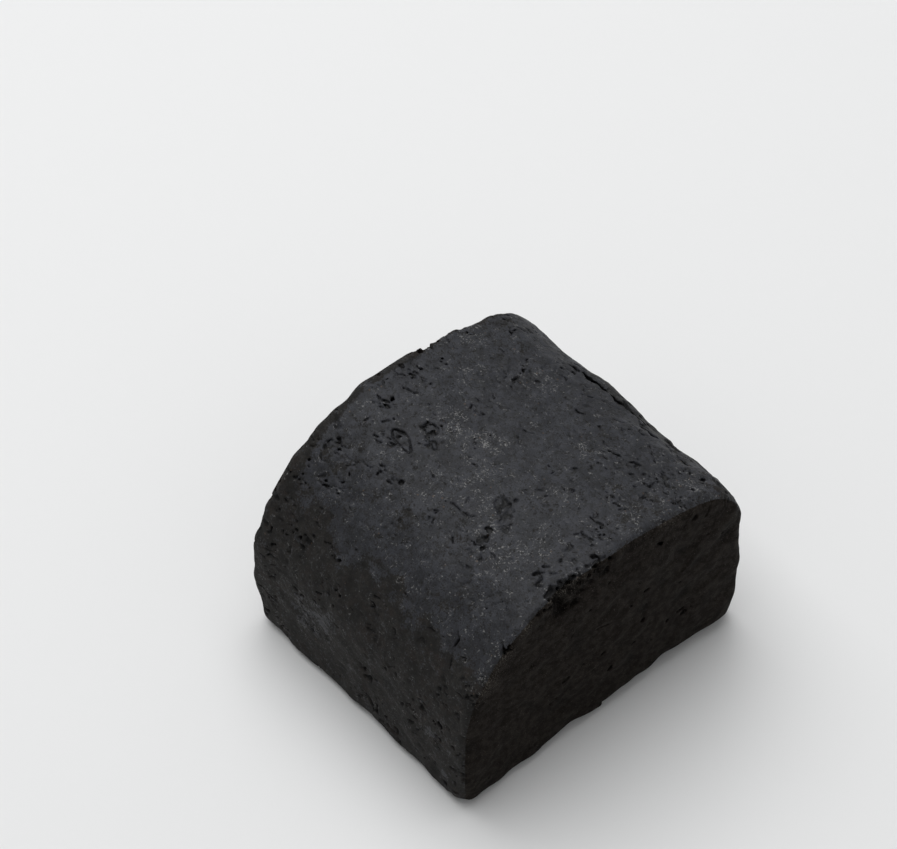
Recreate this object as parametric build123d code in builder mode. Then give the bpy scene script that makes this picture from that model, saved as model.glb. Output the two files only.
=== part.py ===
from build123d import *
import math
import os

# A hand-sized block of pressed charcoal, shaped like a thick slice from an arched loaf. The block is one
# monolithic piece: the powder is packed round nothing, and nothing is fitted into it or onto it.
#
# Frame, in millimetres: +Z is up and the origin is at the middle of the flat base. The arched profile lies in
# YZ and runs along X between two sawn ends. The broad, worn shoulder is at -Y and the tighter one at +Y.

# The outside of the block.
block_length = 57.0
block_width = 66.0
block_height = 46.0

# The arch: a flat crown arc whose centre stands a little towards the broad shoulder, and two shoulder arcs
# that are tangent to it and to the upright sides.
crown_radius = 80.0
crown_offset = -2.7
broad_shoulder_radius = 27.0
tight_shoulder_radius = 16.0

# Rounding from cutting and handling. The arched arrises stay fairly crisp, and the base is softer.
base_edge_radius = 3.0
arris_radius = 1.4

# Bruises on the two arched arrises. Each one is a flattened ball pressed into the arris:
# the end it is on (+1 or -1), its place across the block, and its half sizes along X, across and into the arch.
arris_bruises = [
    (-1, 8.0, 1.6, 3.4, 1.1),
    (-1, 23.5, 1.2, 3.0, 0.8),
    (1, -2.5, 1.3, 2.4, 1.3),
    (1, -7.5, 1.6, 3.0, 1.4),
    (1, -12.5, 1.9, 3.4, 1.3),
    (1, -24.5, 1.3, 1.9, 1.2),
]


def shoulder(side, radius):
    """The centre of a shoulder arc, and the angle in degrees, from +Y, at which it meets the crown."""
    centre_y = side * (block_width / 2 - radius)
    across = centre_y - crown_offset
    rise = math.sqrt((crown_radius - radius) ** 2 - across**2)
    centre_z = block_height - crown_radius + rise
    return centre_y, centre_z, math.degrees(math.atan2(rise, across))


def arch_at(across):
    """The arch's height at a place across the block, and the lean in degrees of its surface there."""
    centre_y, centre_z, radius = crown_offset, block_height - crown_radius, crown_radius
    if across > tight_y + tight_shoulder_radius * math.cos(math.radians(tight_angle)):
        centre_y, centre_z, radius = tight_y, tight_z, tight_shoulder_radius
    elif across < broad_y + broad_shoulder_radius * math.cos(math.radians(broad_angle)):
        centre_y, centre_z, radius = broad_y, broad_z, broad_shoulder_radius
    lean = math.asin((across - centre_y) / radius)
    return centre_z + radius * math.cos(lean), math.degrees(lean)


tight_y, tight_z, tight_angle = shoulder(1, tight_shoulder_radius)
broad_y, broad_z, broad_angle = shoulder(-1, broad_shoulder_radius)

with BuildPart() as charcoal_block:
    # The pressed arch, with its flat base.
    with BuildSketch(Plane.YZ):
        with BuildLine():
            Polyline(
                (-block_width / 2, broad_z),
                (-block_width / 2, 0),
                (block_width / 2, 0),
                (block_width / 2, tight_z),
            )
            CenterArc((tight_y, tight_z), tight_shoulder_radius, 0, tight_angle)
            CenterArc(
                (crown_offset, block_height - crown_radius),
                crown_radius,
                tight_angle,
                broad_angle - tight_angle,
            )
            CenterArc((broad_y, broad_z), broad_shoulder_radius, broad_angle, 180 - broad_angle)
        make_face()
    extrude(amount=block_length / 2, both=True)

    # The base is rubbed round where the block is picked up and put down.
    fillet(charcoal_block.edges().group_by(Axis.Z)[0], radius=base_edge_radius)

    # The arched arrises round the two ends.
    end_edges = charcoal_block.faces().filter_by(Axis.X).edges()
    fillet(end_edges.filter_by(lambda edge: edge.center().Z > base_edge_radius), radius=arris_radius)

    # The bruises, each square to the arch where it lies.
    for end, across, half_length, half_width, depth in arris_bruises:
        height, lean = arch_at(across)
        bite = scale(Sphere(1, mode=Mode.PRIVATE), by=(half_length, half_width, depth), mode=Mode.PRIVATE)
        with Locations(Location((end * block_length / 2, across, height), (-lean, 0, 0))):
            add(bite, mode=Mode.SUBTRACT)

charcoal_block.part.label = "charcoal_block"
os.makedirs("parts", exist_ok=True)
export_step(charcoal_block.part, "parts/charcoal_block.step")
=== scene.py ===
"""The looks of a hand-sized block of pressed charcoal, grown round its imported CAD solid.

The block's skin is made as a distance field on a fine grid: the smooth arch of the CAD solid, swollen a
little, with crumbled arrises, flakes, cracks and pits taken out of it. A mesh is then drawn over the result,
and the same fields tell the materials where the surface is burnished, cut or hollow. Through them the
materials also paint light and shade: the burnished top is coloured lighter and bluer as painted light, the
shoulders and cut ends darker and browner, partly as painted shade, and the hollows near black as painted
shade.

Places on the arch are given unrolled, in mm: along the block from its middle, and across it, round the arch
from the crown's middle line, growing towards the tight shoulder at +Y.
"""

import math

import bpy
import numpy as np
import openvdb
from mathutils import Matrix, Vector


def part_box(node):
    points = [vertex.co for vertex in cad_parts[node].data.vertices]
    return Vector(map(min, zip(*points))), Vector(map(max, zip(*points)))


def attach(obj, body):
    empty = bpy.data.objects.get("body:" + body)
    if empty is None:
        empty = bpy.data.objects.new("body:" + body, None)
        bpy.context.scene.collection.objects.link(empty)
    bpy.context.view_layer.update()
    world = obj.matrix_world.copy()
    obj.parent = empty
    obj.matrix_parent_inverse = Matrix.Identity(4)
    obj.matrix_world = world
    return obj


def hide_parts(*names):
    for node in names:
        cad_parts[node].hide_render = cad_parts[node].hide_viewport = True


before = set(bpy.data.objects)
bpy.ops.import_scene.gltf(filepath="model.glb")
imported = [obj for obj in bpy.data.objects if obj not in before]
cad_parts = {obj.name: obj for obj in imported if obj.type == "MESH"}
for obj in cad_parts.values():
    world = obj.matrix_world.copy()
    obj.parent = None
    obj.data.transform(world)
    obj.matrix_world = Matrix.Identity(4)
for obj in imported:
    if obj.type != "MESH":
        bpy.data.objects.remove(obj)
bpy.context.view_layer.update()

MM = 0.001
BLOCK = "charcoal_block"

# The CAD solid's box, in millimetres, and the radii of its arch and its edges. The arris radius is a mean.
low, high = (np.array(corner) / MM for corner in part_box(BLOCK))
length, width, height = high - low
crown_radius = 80.0
crown_offset = -2.7
broad_shoulder_radius = 27.0
tight_shoulder_radius = 16.0
base_edge_radius = 3.0
arris_radius = 1.3

# The grid's cell, and how far it reaches past the block.
cell = 0.2
reach = 2.5

# The camera, in metres, with its sensor and lens in mm.
camera_place = (0.3472, -0.3148, 0.6323)
camera_aim = (-0.0239, 0.0089, 0.026)
camera_sensor = 36.0
camera_lens = 172.6

# A large softbox overhead, in metres and watts, in a pale room.
softbox_place = (-0.34, 0.08, 1.0)
softbox_aim = (0, 0, 0.03)
softbox_size = (1.1, 1.1)
softbox_watts = 10.3
softbox_colour = (0.985, 0.99, 1.0)
room_colour = (0.98, 0.99, 1.0)
room_strength = 0.40

# Clusters of pits and crevices on the handled side: along, across, spread and how many marks stand out. More
# are made than stand out, as most come out small.
pit_clusters = [
    (-26.0, -1.0, 1.7, 16),
    (-24.0, -6.5, 1.0, 10),
    (-16.0, -2.5, 1.6, 5),
    (-22.5, -20.5, 1.8, 14),
    (-15.0, -17.5, 1.8, 9),
    (-10.5, -16.5, 0.9, 7),
    (-16.5, -24.5, 1.9, 9),
    (0.3, -17.0, 1.1, 8),
    (2.5, -12.5, 1.8, 7),
    (7.5, -16.5, 1.6, 8),
    (-25.0, -27.5, 1.2, 6),
    (-21.5, -37.5, 2.4, 14),
    (-9.0, -40.0, 2.4, 10),
    (3.0, -38.0, 2.0, 8),
    (19.5, -31.0, 2.2, 9),
    (-27.0, 24.5, 1.6, 16),
    (-22.0, 30.0, 1.5, 9),
    (-27.5, 14.0, 2.0, 10),
    (-9.5, 25.0, 1.1, 10),
    (-12.3, -5.3, 0.8, 9),
    (-10.6, -6.9, 0.6, 6),
    (-15.2, -10.4, 0.7, 3),
    (-10.5, 14.0, 1.5, 4),
    (8.0, 6.0, 0.6, 5),
    (13.7, 4.3, 0.6, 4),
    (13.3, -1.0, 0.6, 4),
    (17.5, 8.0, 0.8, 6),
    (24.0, 4.0, 1.2, 9),
    (14.5, 17.5, 2.6, 16),
    (20.5, 20.5, 1.4, 9),
    (23.0, -10.0, 1.2, 5),
]
marks_made_per_mark = 1.5

# Rings eaten round a standing islet: along, across, half length, half width and lean in degrees.
pit_rings = [
    (-14.5, -10.0, 2.6, 1.05, -20),
    (-12.8, -4.8, 1.25, 1.05, 10),
    (-10.0, -6.8, 0.9, 0.75, 0),
]

# Cracks: half width, depth, and the places that the line runs through.
cracks = [
    (0.20, 0.9, [(-4.0, 23.2), (-2.3, 24.8)]),
    (0.18, 0.8, [(-2.0, 19.2), (0.2, 19.6), (2.0, 20.6)]),
    (0.22, 0.9, [(3.8, 24.2), (6.1, 24.8)]),
    (0.30, 1.2, [(9.7, 16.8), (11.0, 17.4), (12.0, 18.5)]),
    (0.20, 0.8, [(13.4, 18.4), (15.5, 19.5)]),
    (0.20, 0.8, [(11.8, 24.8), (13.6, 23.6), (16.9, 21.7)]),
    (0.13, 0.5, [(-9.7, 8.3), (-7.0, 9.7)]),
    (0.16, 0.6, [(-19.8, -18.9), (-17.3, -18.2), (-15.0, -17.9), (-13.8, -16.7)]),
    (0.22, 0.6, [(-21.5, -17.8), (-24.0, -18.4), (-24.2, -20.8), (-22.5, -22.2)]),
    (0.22, 0.45, [(-19.5, -26.2), (-17.8, -24.4), (-15.0, -23.0), (-12.8, -21.5)]),
    (0.18, 0.6, [(-0.6, -13.5), (1.4, -12.0), (3.8, -12.4), (5.4, -12.2)]),
    (0.15, 0.7, [(22.0, -12.6), (22.9, -10.6), (24.4, -9.8)]),
    (0.15, 0.7, [(22.9, -10.6), (24.0, -12.4), (25.6, -13.0)]),
    (0.22, 0.9, [(18.5, -27.6), (19.6, -29.4), (19.0, -32.6), (20.8, -35.2)]),
]

# Cracks under a lifted flake, given in the same way, and how far they lean outwards for each mm of depth.
flake_cracks = [
    (0.50, 3.2, [(-11.5, 28.2), (-8.0, 28.8), (-5.0, 28.7), (-1.5, 29.5), (3.0, 29.9), (5.5, 30.9)]),
    (0.32, 1.8, [(7.0, 28.0), (10.0, 28.4), (12.5, 28.8), (15.5, 28.0)]),
    (0.26, 1.4, [(16.5, 27.4), (18.2, 27.9), (20.0, 27.0)]),
]
flake_lean = 1.1

# Ledges where a flake has gone from the tight shoulder: along, across, half length and drop.
ledges = [
    (2.0, 30.2, 15.0, 0.45),
    (24.0, 30.5, 6.0, 0.5),
]

# Facets broken off an arris: which end, +1 or -1, from where to where across, and size.
broken_facets = [
    (1, -14.5, -7.0, 1.1),
    (1, -7.5, -4.5, 0.7),
    (1, -3.2, -0.8, 0.9),
]

# Crumbled stretches of arris: seed, end, from where to where across, how many crumbs, and the largest.
crumbled_stretches = [
    (71, 1, -16.5, -1.0, 110, 1.1),
    (72, 1, -14.0, -8.0, 40, 1.5),
    (73, 1, -27.0, -24.0, 9, 1.1),
    (78, 1, -3.5, -1.0, 8, 1.1),
    (74, 1, 3.0, 32.0, 16, 0.4),
    (75, -1, 6.0, 9.5, 20, 0.9),
    (76, -1, -45.0, 45.0, 120, 0.36),
    (77, 1, -60.0, -30.0, 25, 0.5),
]

# Slow bulges of the pressed shape: along, across, spread and height.
bulges = [
    (-27.0, -7.0, 6.0, 0.9),
    (-22.0, 28.0, 6.0, 0.35),
    (8.0, 34.0, 8.0, 0.5),
    (24.0, 33.0, 4.5, 0.8),
    (-8.0, 33.0, 2.6, 0.75),
    (-3.5, 33.3, 2.6, 0.75),
    (1.5, 33.6, 2.6, 0.75),
]

# Where pale ash has settled: along, across and spread.
ash_patches = [
    (-12.5, -0.5, 2.4),
    (-8.5, -1.5, 2.0),
    (-4.5, 1.0, 2.2),
    (0.5, -4.2, 2.2),
    (-15.0, -14.5, 1.0),
    (-2.0, -13.5, 1.3),
    (2.5, -9.0, 1.8),
    (10.0, -10.5, 2.4),
    (16.0, -13.5, 2.6),
    (19.0, -8.5, 2.0),
    (11.1, -16.5, 0.8),
    (4.3, -28.4, 1.2),
    (18.2, -22.3, 1.0),
    (7.5, 13.5, 2.0),
    (13.0, 2.3, 1.5),
    (23.5, 9.5, 2.6),
    (26.0, 14.5, 2.2),
    (24.0, 24.0, 2.4),
    (-9.5, 19.5, 2.4),
    (-25.5, 15.0, 2.2),
    (-19.5, 9.0, 2.5),
    (28.0, -9.0, 2.6),
    (28.0, -13.0, 1.8),
    (28.5, -20.0, 1.6),
    (28.5, -27.0, 2.6),
    (28.5, -33.0, 2.6),
]


# --------------------------------------------------------------------------------------------------------
# The camera, the lights and the floor
# --------------------------------------------------------------------------------------------------------


def look(thing, place, target):
    """Puts a camera or a lamp at a place, pointing at a target. Both are in metres."""
    thing.location = place
    thing.rotation_euler = (Vector(target) - Vector(place)).to_track_quat("-Z", "Y").to_euler()
    bpy.context.scene.collection.objects.link(thing)
    return thing


def make_camera():
    """A long lens from above the corner between the cut end and the broad shoulder."""
    data = bpy.data.cameras.new("camera")
    data.sensor_width = camera_sensor
    data.lens = camera_lens
    data.clip_end = 10.0
    camera = look(bpy.data.objects.new("camera", data), camera_place, camera_aim)
    bpy.context.scene.camera = camera


def make_softbox():
    """The one lamp. The camera doesn't see it."""
    data = bpy.data.lights.new("top_softbox", "AREA")
    data.shape = "RECTANGLE"
    data.size, data.size_y = softbox_size
    data.energy = softbox_watts
    data.color = softbox_colour
    lamp = look(bpy.data.objects.new("top_softbox", data), softbox_place, softbox_aim)
    lamp.visible_camera = False


def make_floor():
    """A round studio floor whose rim sweeps up into a wall, so that low views have no horizon."""
    floor_radius, sweep, wall_top, steps, sides = 1.6, 0.5, 1.2, 12, 96
    outline = [(0.0, 0.0), (floor_radius, 0.0)]
    for step in range(1, steps + 1):
        turn = 0.5 * math.pi * step / steps
        outline.append((floor_radius + sweep * math.sin(turn), sweep * (1 - math.cos(turn))))
    outline.append((floor_radius + sweep, wall_top))
    turns = [2 * math.pi * i / sides for i in range(sides)]
    points = [(0.0, 0.0, 0.0)]
    for radius, up in outline[1:]:
        points += [(radius * math.cos(turn), radius * math.sin(turn), up) for turn in turns]
    faces = [(0, 1 + i, 1 + (i + 1) % sides) for i in range(sides)]
    for ring in range(len(outline) - 2):
        first = 1 + ring * sides
        faces += [
            (first + i, first + sides + i, first + sides + (i + 1) % sides, first + (i + 1) % sides)
            for i in range(sides)
        ]
    mesh = bpy.data.meshes.new("floor")
    mesh.from_pydata(points, [], faces)
    mesh.shade_smooth()
    floor = bpy.data.objects.new("floor", mesh)
    bpy.context.scene.collection.objects.link(floor)

    material = bpy.data.materials.new("studio_paper")
    material.use_nodes = True
    shader = material.node_tree.nodes["Principled BSDF"]
    shader.inputs["Base Color"].default_value = (0.80, 0.80, 0.795, 1)
    shader.inputs["Roughness"].default_value = 0.9
    shader.inputs["Specular IOR Level"].default_value = 0.2
    mesh.materials.append(material)


def make_room():
    """The pale light that comes from all round."""
    world = bpy.data.worlds.new("room")
    world.use_nodes = True
    background = world.node_tree.nodes["Background"]
    background.inputs["Color"].default_value = (*room_colour, 1)
    background.inputs["Strength"].default_value = room_strength
    bpy.context.scene.world = world


make_camera()
make_floor()
make_room()
make_softbox()
bpy.context.scene.view_settings.view_transform = "Standard"


# --------------------------------------------------------------------------------------------------------
# The grid, and smooth random values on it
# --------------------------------------------------------------------------------------------------------

corner = low - reach
counts = np.ceil((high + reach - corner) / cell).astype(int) + 1
axes = [(corner[i] + cell * np.arange(counts[i])).astype(np.float32) for i in range(3)]
grid_x, grid_z = axes[0][:, None, None], axes[2][None, None, :]


def spline_rows(axis, spacing):
    """Cubic B-spline weights that carry a lattice's values, spacing mm apart, to the grid along one axis.

    Also the lattice place before each of the grid's places."""
    place = (axes[axis] - corner[axis]) / spacing
    whole = place.astype(int)
    part = place - whole
    rows = np.zeros((len(place), whole.max() + 4), np.float32)
    weights = (
        (1 - part) ** 3 / 6,
        (3 * part**3 - 6 * part**2 + 4) / 6,
        (-3 * part**3 + 3 * part**2 + 3 * part + 1) / 6,
        part**3 / 6,
    )
    for step, weight in enumerate(weights):
        rows[np.arange(len(place)), whole + step] = weight
    return rows, whole


# The spread that the spline leaves of random values whose own spread is 1.
SPLINE_SPREAD = (151 / 315) ** 1.5


def noise(seed, size_x, size_y=None, size_z=None):
    """Smooth random values over the whole grid, with a spread of 1 and blobs about this many mm across."""
    (rows_x, whole), (rows_y, _), (rows_z, _) = (
        spline_rows(axis, size or size_x) for axis, size in enumerate((size_x, size_y, size_z))
    )
    lattice = (rows_x.shape[1], rows_y.shape[1], rows_z.shape[1])
    values = np.random.RandomState(seed).standard_normal(lattice).astype(np.float32) / SPLINE_SPREAD
    sheets = rows_y @ (values @ rows_z.T)
    whole_grid = np.empty(counts, np.float32)
    for i, first in enumerate(whole):
        shares = rows_x[i, first : first + 4]
        whole_grid[i] = np.tensordot(shares, sheets[first : first + 4], axes=1)
    return whole_grid


def ramp(values, start, end):
    """0 before start, 1 after end and smooth between them. start may be the larger."""
    share = np.clip((values - start) / (end - start), 0, 1)
    return share * share * (3 - 2 * share)


# --------------------------------------------------------------------------------------------------------
# The smooth arch
# --------------------------------------------------------------------------------------------------------


def arc(centre, radius, start, end, steps):
    """Points on an arc, with its angles in radians from +Y. Its last point is left to the next stretch."""
    turns = np.linspace(start, end, steps, endpoint=False)
    return np.stack([centre[0] + radius * np.cos(turns), centre[1] + radius * np.sin(turns)], axis=1)


def shoulder(side, radius):
    """The centre of a shoulder arc, and the angle at which it meets the crown."""
    across = side * (width / 2 - radius) - crown_offset
    rise = math.sqrt((crown_radius - radius) ** 2 - across**2)
    return (crown_offset + across, height - crown_radius + rise), math.atan2(rise, across)


def arch_outline():
    """The profile in Y and Z, anticlockwise from the middle of the base, as a closed ring of points."""
    tight, tight_turn = shoulder(1, tight_shoulder_radius)
    broad, broad_turn = shoulder(-1, broad_shoulder_radius)
    edge, half = base_edge_radius, width / 2
    return np.concatenate(
        [
            [(0, 0)],
            arc((half - edge, edge), edge, -math.pi / 2, 0, 12),
            [(half, edge)],
            arc(tight, tight_shoulder_radius, 0, tight_turn, 30),
            arc((crown_offset, height - crown_radius), crown_radius, tight_turn, broad_turn, 30),
            arc(broad, broad_shoulder_radius, broad_turn, math.pi, 50),
            [(-half, broad[1])],
            arc((edge - half, edge), edge, math.pi, 1.5 * math.pi, 12),
            [(edge - half, 0)],
        ]
    )


def outline_fields(outline):
    """Over the grid's Y and Z: the signed distance to the outline, and how far round it the nearest point is.

    Also the outline's whole length."""
    here = np.stack(np.meshgrid(axes[1], axes[2], indexing="ij"), axis=-1).reshape(-1, 2)
    nearest = np.full(len(here), np.inf)
    place = np.zeros(len(here))
    outside = np.full(len(here), -np.inf)
    walked = 0.0
    for start, end in zip(outline, np.roll(outline, -1, axis=0)):
        step = end - start
        span = np.hypot(*step)
        if span < 1e-9:
            continue
        share = np.clip((here - start) @ step / span**2, 0, 1)
        away = np.hypot(*(here - start - share[:, None] * step).T)
        closer = away < nearest
        nearest[closer] = away[closer]
        place[closer] = walked + share[closer] * span
        outside = np.maximum(outside, (here - start) @ np.array([step[1], -step[0]]) / span)
        walked += span
    signed = np.where(outside > 0, nearest, -nearest)
    shape = (len(axes[1]), len(axes[2]))
    return signed.reshape(shape).astype(np.float32), place.reshape(shape).astype(np.float32), walked


outline = arch_outline()
arch_distance, arch_place, girth = outline_fields(outline)

# How far round the arch a point is from the crown's middle line, growing towards the tight shoulder.
outline_places = np.concatenate([[0], np.cumsum(np.hypot(*np.diff(outline, axis=0).T))])
upper = outline[:, 1] > height / 2
crown_place = np.interp(0, -outline[upper, 0], outline_places[upper])
around = (crown_place - arch_place)[None]


def on_arch(along, across):
    """The point of the smooth arch, in mm, that lies at a place on the unrolled arch."""
    places = crown_place - outline_places
    y = np.interp(across, places[::-1], outline[::-1, 0])
    z = np.interp(across, places[::-1], outline[::-1, 1])
    return np.array([along, y, z])


def smooth_block():
    """The distance to the plain block. Its arrises are rounded, more in some stretches than in others."""
    sharpest, bluntest, spread = 0.6, 2.4, 0.4
    worn_corner = 1.3
    worn = np.clip(arris_radius + spread * noise(11, 9.0), sharpest, bluntest)
    worn += (base_edge_radius - arris_radius) * ramp(grid_z, 9.0, 2.0)
    # The corner between the tight shoulder and the +X end is rounder than the rest.
    worn += worn_corner * ramp(around, 8.0, 22.0) * ramp(grid_x, 14.0, 20.0)
    side = arch_distance[None] + worn
    end = np.abs(grid_x) - length / 2 + worn
    outer = np.sqrt(np.maximum(side, 0) ** 2 + np.maximum(end, 0) ** 2)
    return np.minimum(np.maximum(side, end), 0) + outer - worn


plain = smooth_block()

# How much a point belongs to a cut end, and not to the arch or the base.
cut_end = ramp(np.abs(grid_x) - length / 2 - arch_distance[None], -0.5, 0.5)


# --------------------------------------------------------------------------------------------------------
# What is worn off
# --------------------------------------------------------------------------------------------------------

# Noise that several kinds of mark share to make their edges ragged, from slow to fine.
crumbs = noise(12, 0.8)
wander = noise(13, 1.4)
grit = noise(14, 0.45)


def burnish_and_painted_light_mask():
    """Where handling has polished the arch in patches, from one shoulder to the other. The same mask paints
    light: the materials colour the top between the shoulders lighter and bluer, as lit, and leave the
    shoulders darker and browner, as shaded.
    """
    handled_and_lit = ramp(around + 1.2 * noise(23, 3.0), -35.5, -26.5) * ramp(around, 46.0, 32.0)
    # It is weaker towards the corner of the tight shoulder and the +X end, and stops short of the -X arris.
    handled_and_lit = handled_and_lit * (1 - 0.25 * ramp(grid_x + 0.5 * around, 8.0, 32.0))
    handled_and_lit = handled_and_lit * ramp(grid_x + 0.04 * around, 0.3 - length / 2, 2.8 - length / 2)
    patchy = 0.42 * noise(21, 4.5) + 0.36 * noise(22, 1.3)
    return ramp(2.6 * handled_and_lit - 0.9 + patchy, -0.4, 1.2) * (1 - cut_end)


# Real polish, and painted light too: the lit top gets the lighter, bluer bloom, and the shaded shoulders keep
# the dark brown.
burnish_and_painted_light = burnish_and_painted_light_mask()
rough = 1 - burnish_and_painted_light


def swells():
    """Slow swells left by pressing and handling, and the bulges. Positive goes into the block."""
    swell = 0.20 * noise(31, 14.0) + 0.13 * noise(32, 5.0)
    for along, across, spread, rise in bulges:
        away = (grid_x - along) ** 2 + (around - across) ** 2
        swell -= rise * np.exp(-away / (2 * spread**2))
    return swell


def lumps():
    """The finer roughness, strongest between the burnished patches and weakest on the ends and low walls."""
    upper_skin = (1 - 0.7 * cut_end) * (1 - 0.6 * ramp(grid_z, 34.0, 22.0))
    coarse = (0.075 + 0.05 * rough) * noise(33, 2.2) + (0.036 + 0.025 * rough) * upper_skin * noise(34, 1.0)
    return coarse + (0.020 + 0.006 * rough) * upper_skin * noise(35, 0.5)


def grain():
    """Soft unevenness of the cut ends, drawn out a little as the blade went, and furrows along the arch."""
    drawn = noise(41, 1.8, 2.8, 2.2)
    furrows = noise(42, 4.0, 1.0, 1.0)
    return 0.08 * cut_end * drawn + 0.010 * (1 - cut_end) * furrows


def hollows():
    """Irregular crumbled hollows in clusters, clear of the arrises."""
    usual_depth = 0.5
    cluster = ramp(noise(51, 5.0) + 0.4 * rough, 0.6, 2.0)
    pocket = 0.55 * noise(52, 1.0) + 0.65 * noise(53, 0.55)
    off_arris = ramp(np.abs(grid_x) - length / 2, -0.6, -2.2)
    return usual_depth * ramp(pocket + 0.9 * cluster, 1.5, 2.2) * (0.3 + cluster) * off_arris


base_skin = plain + swells()
skin = base_skin + lumps() + grain() + hollows()


def window_round(centre, span):
    """The part of the grid within span mm of a point."""
    first = np.clip(((centre - span - corner) / cell).astype(int), 0, counts - 2)
    last = np.clip(((centre + span - corner) / cell).astype(int) + 2, first + 1, counts)
    return tuple(slice(a, b) for a, b in zip(first, last))


def unrolled(window):
    """Along, across and depth below the nearest of the swollen block's faces, over a part of the grid."""
    here = np.broadcast_to(around, plain.shape)[window]
    return grid_x[window[0]] + 0 * here, here, -base_skin[window]


def carve(window, shape):
    """Takes out of the skin what lies where shape is positive."""
    skin[window] = np.maximum(skin[window], shape.astype(np.float32))


def bite(centre, radii, turn):
    """Takes a crumbled ellipsoid out of the skin. turn's rows are its axes."""
    most_ragged = 0.8
    window = window_round(centre, (1.05 + most_ragged) * max(radii) + 2 * cell)
    places = np.stack(np.meshgrid(*(axes[i][window[i]] for i in range(3)), indexing="ij"), axis=-1)
    local = (places - centre) @ turn.T / radii
    ragged = np.minimum(0.35 * crumbs[window] + 0.45 * grit[window], most_ragged)
    carve(window, min(radii) * (1 - np.sqrt((local**2).sum(axis=-1)) + ragged))


def random_turn(dice):
    """A random rotation, as three rows at right angles."""
    rows, _ = np.linalg.qr(dice.standard_normal((3, 3)))
    return rows


def pit(dice, along, across, smallest, largest):
    """One crumbled pit on the arch, a little below its surface. Most are small."""
    core_height = 10.0
    size = smallest + (largest - smallest) * dice.random_sample() ** 2.5
    centre = on_arch(along, across)
    outward = centre - np.array([along, crown_offset, core_height])
    centre -= outward / np.linalg.norm(outward) * size * dice.uniform(0.0, 0.4)
    bite(centre, size * dice.uniform(0.6, 1.7, 3), random_turn(dice))


def crack(half_width, depth, places, lean=0.0):
    """A ragged crack along a line of places on the arch, narrowing with depth and towards its ends.

    lean is how far it drifts outwards, towards the tight shoulder, for each mm of depth."""
    line = np.array(places)
    middle = (line.min(axis=0) + line.max(axis=0)) / 2
    far_enough = 0.5 * np.hypot(*np.ptp(line, axis=0)) + 1.6 + lean * depth
    window = window_round(on_arch(*middle), far_enough)
    u, v, down = unrolled(window)
    u, v = u + 0.25 * wander[window], v + 0.22 * crumbs[window] + 0.2 * wander[window] - lean * down
    steps = np.hypot(*np.diff(line, axis=0).T)
    walked, total = 0.0, steps.sum()
    ragged = 1 + 0.35 * crumbs[window] + 0.35 * grit[window]
    shape = np.full(u.shape, -np.inf)
    for start, end, span in zip(line, line[1:], steps):
        run = end - start
        share = np.clip(((u - start[0]) * run[0] + (v - start[1]) * run[1]) / span**2, 0, 1)
        away = np.hypot(u - start[0] - share * run[0], v - start[1] - share * run[1])
        gone = (walked + share * span) / total
        opening = half_width * np.minimum(1, 4 * np.minimum(gone, 1 - gone) + 0.3) * ragged
        shape = np.maximum(shape, opening * (1 - down / depth) - away)
        walked += span
    carve(window, shape)


def crevice(dice, along, across):
    """One short crevice, lying more or less along the block, where the grains have parted."""
    lean, half = dice.normal(0.15, 0.5), dice.uniform(0.2, 1.1)
    step = np.array([half * math.cos(lean), half * math.sin(lean)])
    bend = np.array([-step[1], step[0]]) * dice.normal(0, 0.3)
    middle = np.array([along, across])
    crack(dice.uniform(0.12, 0.24), dice.uniform(0.35, 0.9), [middle - step, middle + bend, middle + step])


def marks_in_clusters(seed):
    """Pits and crevices in the clusters of the handled side."""
    dice = np.random.RandomState(seed)
    smallest, largest, share_of_pits = 0.16, 0.36, 0.6
    for along, across, spread, count in pit_clusters:
        for _ in range(int(marks_made_per_mark * count)):
            place = (along + spread * dice.standard_normal(), across + spread * dice.standard_normal())
            if dice.random_sample() < share_of_pits:
                pit(dice, *place, smallest, largest)
            else:
                crevice(dice, *place)


def marks_anywhere(seed, clusters, per_cluster, spread, largest):
    """Small groups of pits and crevices all round the block, base and sides too."""
    dice = np.random.RandomState(seed)
    smallest, share_of_pits = 0.13, 0.55
    for _ in range(clusters):
        along = dice.uniform(-0.5, 0.5) * length
        across = dice.uniform(crown_place - girth, crown_place)
        for _ in range(1 + dice.poisson(per_cluster)):
            place = (along + spread * dice.standard_normal(), across + spread * dice.standard_normal())
            if dice.random_sample() < share_of_pits:
                pit(dice, *place, smallest, largest)
            else:
                crevice(dice, *place)


def pits_on_ends(seed, count):
    """Grains torn out of the two cut ends. They lie more or less along Y, as the blade went."""
    dice = np.random.RandomState(seed)
    smallest, size_span = 0.16, 0.4
    widest, highest = width / 2 - 2, height - 2
    for _ in range(count):
        end = dice.choice([-0.5, 0.5])
        centre = np.array([end * length, dice.uniform(-widest, widest), dice.uniform(1, highest)])
        size = smallest + size_span * dice.random_sample() ** 2.5
        lean = dice.normal(0.15, 0.35)
        cosine, sine = math.cos(lean), math.sin(lean)
        turn = np.array([[1, 0, 0], [0, cosine, sine], [0, -sine, cosine]])
        bite(centre, size * np.array([0.9, dice.uniform(0.8, 2.4), dice.uniform(0.6, 1.1)]), turn)


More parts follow.
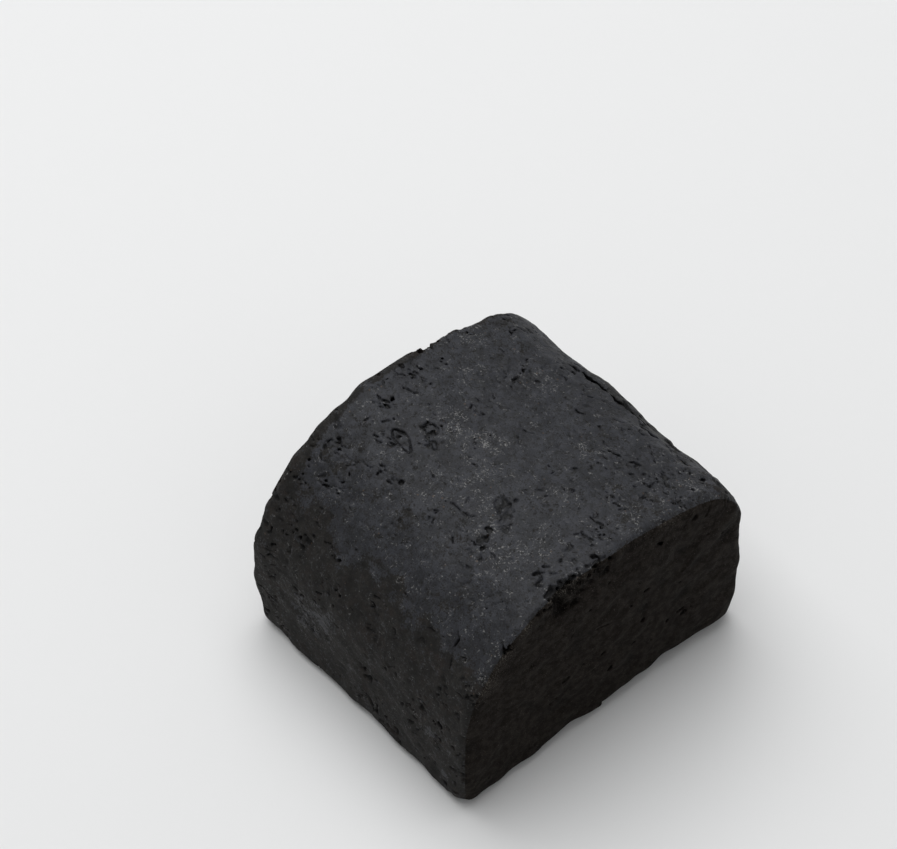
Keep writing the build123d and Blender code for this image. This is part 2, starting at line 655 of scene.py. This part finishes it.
def ring(along, across, half_length, half_width, lean):
    """A narrow groove eaten round a standing islet, shallow enough to leave it standing."""
    half_groove = 0.24
    window = window_round(on_arch(along, across), 1.6 * half_length + 0.8)
    u, v, depth = unrolled(window)
    turn = math.radians(lean)
    u, v = u - along + 0.25 * wander[window], v - across + 0.22 * crumbs[window]
    u, v = u * math.cos(turn) + v * math.sin(turn), v * math.cos(turn) - u * math.sin(turn)
    scaled = np.hypot(u / half_length, v / half_width)
    slope = np.hypot(u / half_length**2, v / half_width**2) / np.maximum(scaled, 0.1)
    off_ring = np.abs(scaled - 1) / np.maximum(slope, 0.1)
    breaks = np.clip(1 + 0.15 * wander[window] + 0.25 * crumbs[window] + 0.2 * grit[window], 0.8, 1.6)
    carve(window, half_groove * breaks - off_ring - 0.35 * np.maximum(depth, 0))


def ledge(along, across, half_length, drop):
    """A flake gone from the tight shoulder: a sharp step at across, which fades out lower down."""
    window = window_round(on_arch(along, across + 3), half_length + 4)
    u, v, _ = unrolled(window)
    beyond = v - across + 0.35 * wander[window] + 0.2 * crumbs[window]
    fade = ramp(np.abs(u - along), half_length, half_length - 4) * ramp(beyond, 9.0, 3.0)
    skin[window] += (drop * ramp(beyond, -0.15, 0.35) * fade).astype(np.float32)


def crumbled_arris(seed, end, first, last, count, largest):
    """Angular crumbs gone from the arris of one end, between two places round the arch."""
    dice = np.random.RandomState(seed)
    smallest = 0.2
    for _ in range(count):
        size = smallest + (largest - smallest) * dice.random_sample() ** 2
        centre = on_arch(end * (length / 2 - abs(dice.normal(0, 0.35))), dice.uniform(first, last))
        centre[2] -= abs(dice.normal(0, 0.3))
        bite(centre, size * dice.uniform(0.6, 1.5, 3), random_turn(dice))


def broken_arris(end, first, last, size):
    """A jagged facet broken off the arris of one end, between two places round the arch.

    The end face below it is set back with it, as far down as the window reaches."""
    middle, half = (first + last) / 2, (last - first) / 2
    window = window_round(on_arch(end * length / 2, middle), half + 3)
    _, v, below_nearest = unrolled(window)
    below_end = length / 2 - end * grid_x[window[0]]
    span = size * ramp(np.abs(v + 0.8 * wander[window] - middle), half, 0.7 * half)
    ragged = 1 + 0.35 * wander[window] + 0.35 * crumbs[window]
    away = (below_end + np.maximum(below_nearest, -0.5)) / math.sqrt(2)
    carve(window, np.where(span > 0.05, span * ragged - away, -1.0))


marks_in_clusters(64)
marks_anywhere(162, clusters=420, per_cluster=1.8, spread=0.8, largest=0.22)
marks_anywhere(165, clusters=40, per_cluster=8.0, spread=1.3, largest=0.30)
pits_on_ends(64, count=260)
for row in pit_rings:
    ring(*row)
for row in ledges:
    ledge(*row)
for row in cracks:
    crack(*row)
for row in flake_cracks:
    crack(*row, lean=flake_lean)
for row in broken_facets:
    broken_arris(*row)
for row in crumbled_stretches:
    crumbled_arris(*row)

# The block rests on a flat base.
skin = np.maximum(skin, -grid_z)


# --------------------------------------------------------------------------------------------------------
# The mesh
# --------------------------------------------------------------------------------------------------------


def sample(values, places):
    """A field's values at places in mm, read between the cells.

    A field over the whole grid takes X, Y and Z, and one over the profile takes Y and Z."""
    size = values.ndim
    place = (places - corner[-size:]) / cell
    whole = np.clip(place.astype(int), 0, counts[-size:] - 2)
    part = place - whole
    total = np.zeros(len(places))
    for step in np.ndindex((2,) * size):
        weight = np.prod(np.where(step, part, 1 - part), axis=1)
        total += weight * values[tuple((whole + step).T)]
    return total


def outer_skin(points, quads):
    """Drops loose crumbs and closed bubbles, so that one closed surface is left."""
    label = np.arange(len(points))
    while True:
        lowest = label.copy()
        np.minimum.at(lowest, quads.ravel(), np.repeat(label[quads].min(axis=1), 4))
        lowest = lowest[lowest]
        if (lowest == label).all():
            break
        label = lowest
    kept = label == np.bincount(label).argmax()
    renumbered = np.cumsum(kept) - 1
    return points[kept], renumbered[quads[kept[quads[:, 0]]]]


def draw_skin():
    """The mesh over the field's zero surface, in metres, and its points in mm."""
    band = 3 * cell
    grid = openvdb.FloatGrid(band)
    grid.copyFromArray(np.clip(skin, -band, band))
    points, quads = outer_skin(*grid.convertToQuads(isovalue=0.0))
    points = points * cell + corner
    mesh = bpy.data.meshes.new(BLOCK + "_skin")
    mesh.vertices.add(len(points))
    mesh.vertices.foreach_set("co", (points * MM).astype(np.float32).ravel())
    mesh.loops.add(quads.size)
    mesh.loops.foreach_set("vertex_index", quads[:, ::-1].astype(np.int32).ravel())
    mesh.polygons.add(len(quads))
    mesh.polygons.foreach_set("loop_start", np.arange(0, quads.size, 4, dtype=np.int32))
    mesh.update(calc_edges=True)
    mesh.validate()
    mesh.shade_smooth()
    return mesh, points


mesh, points = draw_skin()
block = bpy.data.objects.new("charcoal_block_worn", mesh)
bpy.context.scene.collection.objects.link(block)
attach(block, "root")
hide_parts(BLOCK)


def places_round():
    """How far round the arch each mesh point is from the crown, from minus to plus half the girth."""
    turn = (crown_place - arch_place) * (2 * math.pi / girth)
    sine, cosine = sample(np.sin(turn), points[:, 1:]), sample(np.cos(turn), points[:, 1:])
    return np.arctan2(sine, cosine) * girth / (2 * math.pi)


point_along, point_across = points[:, 0], places_round()


def ash_at_points():
    """How dusted with ash each mesh point is."""
    dust = np.zeros(len(points))
    for along, across, spread in ash_patches:
        away = ((points - on_arch(along, across)) ** 2).sum(axis=1)
        dust = np.maximum(dust, np.exp(-away / (2 * spread**2)))
    return dust


def write_attribute(name, values):
    """Hands one value for each mesh point to the materials."""
    attribute = mesh.attributes.new(name, "FLOAT", "POINT")
    attribute.data.foreach_set("value", values.astype(np.float32))


# Painted shade: the materials colour the mesh near black where it lies below the swollen skin.
write_attribute("hollow", -sample(base_skin, points))
# Polish and painted light together: by it the materials colour the top lighter and bluer and the shoulders
# darker and browner.
write_attribute("burnish_and_painted_light", sample(burnish_and_painted_light, points))
write_attribute("ash", ash_at_points())


# --------------------------------------------------------------------------------------------------------
# The charcoal
# --------------------------------------------------------------------------------------------------------

# The skin's base colours, linear: raw charcoal, the bloom that rubbing leaves on it, and what lies over them.
# The raw colours are partly painted shade, dark and brown for the shoulders, and the bloom partly painted
# light, pale and bluish for the top.
raw_and_shade_dark, raw_and_shade_pale = (0.0096, 0.0086, 0.0074, 1), (0.0168, 0.0152, 0.0134, 1)
bloom_and_light_dark, bloom_and_light_pale = (0.0150, 0.0158, 0.0196, 1), (0.0252, 0.0265, 0.0322, 1)
rust_colour = (0.0190, 0.0140, 0.0112, 1)
rusty_grain_colour = (0.060, 0.040, 0.026, 1)
dull_colour = (0.0088, 0.0086, 0.0090, 1)
pore_colour = (0.0050, 0.0048, 0.0046, 1)
# Painted shade: near black where the mesh lies below the swollen skin.
hollow_shade_colour = (0.0036, 0.0034, 0.0032, 1)
haze_colour = (0.060, 0.061, 0.063, 1)
ash_colour = (0.165, 0.163, 0.160, 1)

# The cut ends' base colours, linear: raw cut charcoal, partly its own brown-black and partly painted shade
# that makes it darker and browner.
cut_and_shade_dark, cut_and_shade_pale = (0.0078, 0.0059, 0.0047, 1), (0.0166, 0.0136, 0.0112, 1)
cut_patch_colour = (0.0072, 0.0052, 0.0040, 1)
cut_pore_colour = (0.0045, 0.0034, 0.0027, 1)
cut_hollow_shade_colour = (0.0030, 0.0024, 0.0020, 1)
cut_dust_colour = (0.040, 0.035, 0.030, 1)
cut_ash_colour = (0.085, 0.078, 0.068, 1)

# Roughness where the skin is raw and where it is rubbed, and where a cut end is dark and where it is pale.
skin_roughness = (0.88, 0.60)
cut_roughness = (0.95, 0.82)

# Specular level, and the height in mm of the relief that is too fine for the mesh.
skin_gloss, cut_gloss = 0.27, 0.08
skin_relief, cut_relief = 0.05, 0.07


class Nodes:
    """Short ways to add the nodes of one material. Sizes are in mm."""

    def __init__(self, name):
        self.material = bpy.data.materials.new(name)
        self.material.use_nodes = True
        self.tree = self.material.node_tree
        self.shader = self.tree.nodes["Principled BSDF"]

    def put(self, socket, value):
        """Links another node's output to a socket, or sets a constant on it."""
        if isinstance(value, bpy.types.NodeSocket):
            self.tree.links.new(value, socket)
        else:
            socket.default_value = value

    def maths(self, operation, *values, clamp=False):
        node = self.tree.nodes.new("ShaderNodeMath")
        node.operation = operation
        node.use_clamp = clamp
        for socket, value in zip(node.inputs, values):
            self.put(socket, value)
        return node.outputs[0]

    def ramp(self, value, start, end, low_value=0.0, high_value=1.0):
        """low_value up to start, high_value from end on, and smooth between them."""
        node = self.tree.nodes.new("ShaderNodeMapRange")
        node.interpolation_type = "SMOOTHSTEP"
        for socket, number in zip(node.inputs, (value, start, end, low_value, high_value)):
            self.put(socket, number)
        return node.outputs[0]

    def mix(self, share, first, second):
        node = self.tree.nodes.new("ShaderNodeMix")
        node.data_type = "RGBA"
        self.put(node.inputs["Factor"], share)
        self.put(node.inputs[6], first)
        self.put(node.inputs[7], second)
        return node.outputs[2]

    def attribute(self, name):
        node = self.tree.nodes.new("ShaderNodeAttribute")
        node.attribute_name = name
        return node.outputs["Fac"]

    def place(self, stretch=(1, 1, 1)):
        """The object's own coordinates in mm, with each axis scaled."""
        coordinates = self.tree.nodes.new("ShaderNodeTexCoord")
        scale = self.tree.nodes.new("ShaderNodeVectorMath")
        scale.operation = "MULTIPLY"
        self.tree.links.new(coordinates.outputs["Object"], scale.inputs[0])
        scale.inputs[1].default_value = [share / MM for share in stretch]
        return scale.outputs[0]

    def noise(self, size, detail=2.0, stretch=(1, 1, 1)):
        """Soft noise from 0 to 1, with blobs about size mm across."""
        node = self.tree.nodes.new("ShaderNodeTexNoise")
        self.put(node.inputs["Vector"], self.place(stretch))
        node.inputs["Scale"].default_value = 1 / size
        node.inputs["Detail"].default_value = detail
        return node.outputs["Fac"]

    def veins(self, size, thinness):
        """Thin wandering lines, from 0 to 1, round blobs about size mm across."""
        away = self.maths("ABSOLUTE", self.maths("SUBTRACT", self.noise(size, 2.0), 0.5))
        return self.ramp(away, thinness, 0.4 * thinness)

    def specks(self, size, radius, share):
        """1 inside some of the grains of a field of grains size mm apart. share of them are picked."""
        node = self.tree.nodes.new("ShaderNodeTexVoronoi")
        self.put(node.inputs["Vector"], self.place())
        node.inputs["Scale"].default_value = 1 / size
        separate = self.tree.nodes.new("ShaderNodeSeparateColor")
        self.put(separate.inputs[0], node.outputs["Color"])
        picked = self.maths("GREATER_THAN", share, separate.outputs[0])
        grain_size = self.maths("MULTIPLY_ADD", separate.outputs[1], 0.5 * radius, 0.6 * radius)
        inside = self.maths("LESS_THAN", node.outputs["Distance"], grain_size)
        return self.maths("MULTIPLY", picked, inside)

    def bump(self, heights, distance):
        node = self.tree.nodes.new("ShaderNodeBump")
        node.inputs["Distance"].default_value = distance * MM
        self.put(node.inputs["Height"], heights)
        self.put(self.shader.inputs["Normal"], node.outputs[0])


def skin_material():
    """The arch and the base: raw brown-black charcoal with a rubbed, bluish bloom, black hollows and ash. The
    bloom is partly painted light on the top, the brown-black partly painted shade on the shoulders, and the
    black hollows painted shade.
    """
    nodes = Nodes("charcoal_skin")
    polish_and_painted_light = nodes.attribute("burnish_and_painted_light")
    hollow = nodes.attribute("hollow")
    ash = nodes.attribute("ash")
    broad = nodes.noise(2.4, 3.0, stretch=(1.0, 0.6, 0.8))
    middling = nodes.noise(0.9, 3.0)
    fine = nodes.noise(0.34, 2.0)
    finest = nodes.noise(0.22, 1.0)

    # Raw charcoal, and the bloom where the burnishing shows through the mottle: partly painted light, lighter
    # and bluer on the top, and partly painted shade, darker and browner on the shoulders.
    raw_and_shade = nodes.mix(nodes.ramp(broad, 0.40, 0.60), raw_and_shade_dark, raw_and_shade_pale)
    rust = nodes.ramp(nodes.noise(2.8, 3.0), 0.52, 0.66, 0.0, 0.55)
    raw_and_shade = nodes.mix(rust, raw_and_shade, rust_colour)
    bloom_and_light = nodes.mix(nodes.ramp(broad, 0.40, 0.60), bloom_and_light_dark, bloom_and_light_pale)
    mottle = nodes.maths("ADD", nodes.maths("SUBTRACT", middling, 0.5), nodes.maths("SUBTRACT", fine, 0.5))
    rubbed_and_lit = nodes.maths("MULTIPLY_ADD", mottle, 2.6, nodes.maths("MULTIPLY", polish_and_painted_light, 1.1), clamp=True)
    colour = nodes.mix(nodes.ramp(rubbed_and_lit, 0.15, 0.95), raw_and_shade, bloom_and_light)

    # Dull patches, pores, and painted shade in the hollows of the mesh.
    dull = nodes.ramp(nodes.noise(1.1, 4.0), 0.46, 0.36, 0.0, 0.6)
    colour = nodes.mix(dull, colour, dull_colour)
    pores = nodes.ramp(nodes.maths("ADD", nodes.maths("MULTIPLY", mottle, 0.5), finest), 0.475, 0.36)
    colour = nodes.mix(nodes.maths("MULTIPLY", pores, 0.75), colour, pore_colour)
    colour = nodes.mix(nodes.ramp(hollow, 0.10, 0.50, 0.0, 0.85), colour, hollow_shade_colour)

    # Ash: a thin haze, with pale broken lines in its middle, and rusty grains here and there.
    dusty = nodes.maths("MULTIPLY_ADD", ash, 0.15, nodes.maths("MULTIPLY", nodes.noise(0.38, 1.0), 0.8))
    dusty = nodes.maths("MULTIPLY_ADD", nodes.noise(1.6, 2.0), 0.9, dusty)
    dusty = nodes.maths("ADD", dusty, nodes.ramp(polish_and_painted_light, 0.0, 0.8, -0.05, 0.0))
    haze = nodes.ramp(dusty, 0.82, 1.12, 0.0, 0.13)
    colour = nodes.mix(haze, colour, haze_colour)
    crumbly = nodes.maths("MULTIPLY", nodes.veins(0.75, 0.035), nodes.ramp(dusty, 0.95, 1.16))
    pale = nodes.maths("MULTIPLY", crumbly, nodes.ramp(hollow, 0.45, 0.15))
    colour = nodes.mix(nodes.maths("MULTIPLY", pale, 0.9), colour, ash_colour)
    rusty = nodes.specks(0.75, 0.26, nodes.maths("MULTIPLY_ADD", ash, 0.08, 0.012))
    colour = nodes.mix(nodes.maths("MULTIPLY", rusty, 0.6), colour, rusty_grain_colour)

    nodes.put(nodes.shader.inputs["Base Color"], colour)
    nodes.put(nodes.shader.inputs["Roughness"], nodes.ramp(rubbed_and_lit, 0.1, 0.9, *skin_roughness))
    nodes.shader.inputs["Specular IOR Level"].default_value = skin_gloss
    relief = nodes.maths("ADD", nodes.maths("MULTIPLY", middling, 1.6), nodes.maths("ADD", fine, finest))
    nodes.bump(relief, skin_relief)
    return nodes.material


def cut_material():
    """The two cut ends: warm brown-black and mottled, with no bloom, and ashy where ash lies by the arris.
    The brown-black is partly painted shade.
    """
    nodes = Nodes("charcoal_cut")
    hollow = nodes.attribute("hollow")
    ash = nodes.attribute("ash")
    broad = nodes.noise(3.6, 3.0)
    mottle = nodes.noise(1.3, 4.0, stretch=(1.0, 0.85, 1.0))
    fine = nodes.noise(0.36, 3.0)
    finest = nodes.noise(0.22, 1.0)

    # Partly painted shade: the ends are coloured darker and browner than the raw charcoal alone.
    colour = nodes.mix(nodes.ramp(mottle, 0.38, 0.62), cut_and_shade_dark, cut_and_shade_pale)
    colour = nodes.mix(nodes.ramp(broad, 0.50, 0.40, 0.0, 0.45), colour, cut_patch_colour)
    colour = nodes.mix(nodes.ramp(fine, 0.47, 0.36, 0.0, 0.7), colour, cut_pore_colour)
    # Painted shade: the hollows of the mesh are coloured near black.
    colour = nodes.mix(nodes.ramp(hollow, 0.12, 0.45, 0.0, 0.8), colour, cut_hollow_shade_colour)
    dusty = nodes.maths("MULTIPLY_ADD", ash, 0.24, nodes.noise(0.45, 2.0))
    colour = nodes.mix(nodes.ramp(dusty, 0.52, 0.74, 0.0, 0.30), colour, cut_dust_colour)
    pale = nodes.ramp(nodes.maths("MULTIPLY_ADD", ash, 0.16, finest), 0.68, 0.76)
    colour = nodes.mix(nodes.maths("MULTIPLY", pale, 0.7), colour, cut_ash_colour)

    nodes.put(nodes.shader.inputs["Base Color"], colour)
    nodes.put(nodes.shader.inputs["Roughness"], nodes.ramp(mottle, 0.3, 0.7, *cut_roughness))
    nodes.shader.inputs["Specular IOR Level"].default_value = cut_gloss
    nodes.bump(nodes.maths("ADD", nodes.maths("ADD", fine, finest), mottle), cut_relief)
    return nodes.material


mesh.materials.append(skin_material())
mesh.materials.append(cut_material())

face_corners = np.empty(len(mesh.loops), np.int32)
mesh.loops.foreach_get("vertex_index", face_corners)
face_corners = face_corners.reshape(-1, 4)


def face_means(values):
    """Each face's mean of values held at its four corners."""
    return values[face_corners].mean(axis=1)


on_end = face_means(sample(cut_end, points)) > 0.5
mesh.polygons.foreach_set("material_index", on_end.astype(np.int32))


def write_uv_map():
    """A flat layout at one scale: two strips of the unrolled skin, and the two cut ends beside them."""
    margin = 1.5
    strip = girth / 2
    below = (point_across + girth) % girth - strip
    u = np.empty(face_corners.shape)
    v = np.empty(face_corners.shape)
    top = ~on_end & (np.abs(face_means(point_across)) < strip / 2)
    base = ~on_end & ~top
    far = on_end & (face_means(points[:, 0]) < 0)
    near = on_end & ~far
    charts = (
        (top, point_across + strip / 2, point_along + length / 2, 0.0, 0.0),
        (base, below + strip / 2, point_along + length / 2, 0.0, length + 2 * margin),
        (near, points[:, 2], points[:, 1] + width / 2, strip + 2 * margin, 0.0),
        (far, points[:, 2], points[:, 1] + width / 2, strip + 2 * margin, width + 2 * margin),
    )
    for faces, along_u, along_v, shift_u, shift_v in charts:
        u[faces] = along_u[face_corners[faces]] + shift_u + margin
        v[faces] = along_v[face_corners[faces]] + shift_v + margin
    side = strip + height + 5 * margin
    layer = mesh.uv_layers.new(name="OFBake")
    layer.data.foreach_set("uv", (np.stack([u, v], axis=-1) / side).astype(np.float32).ravel())


write_uv_map()
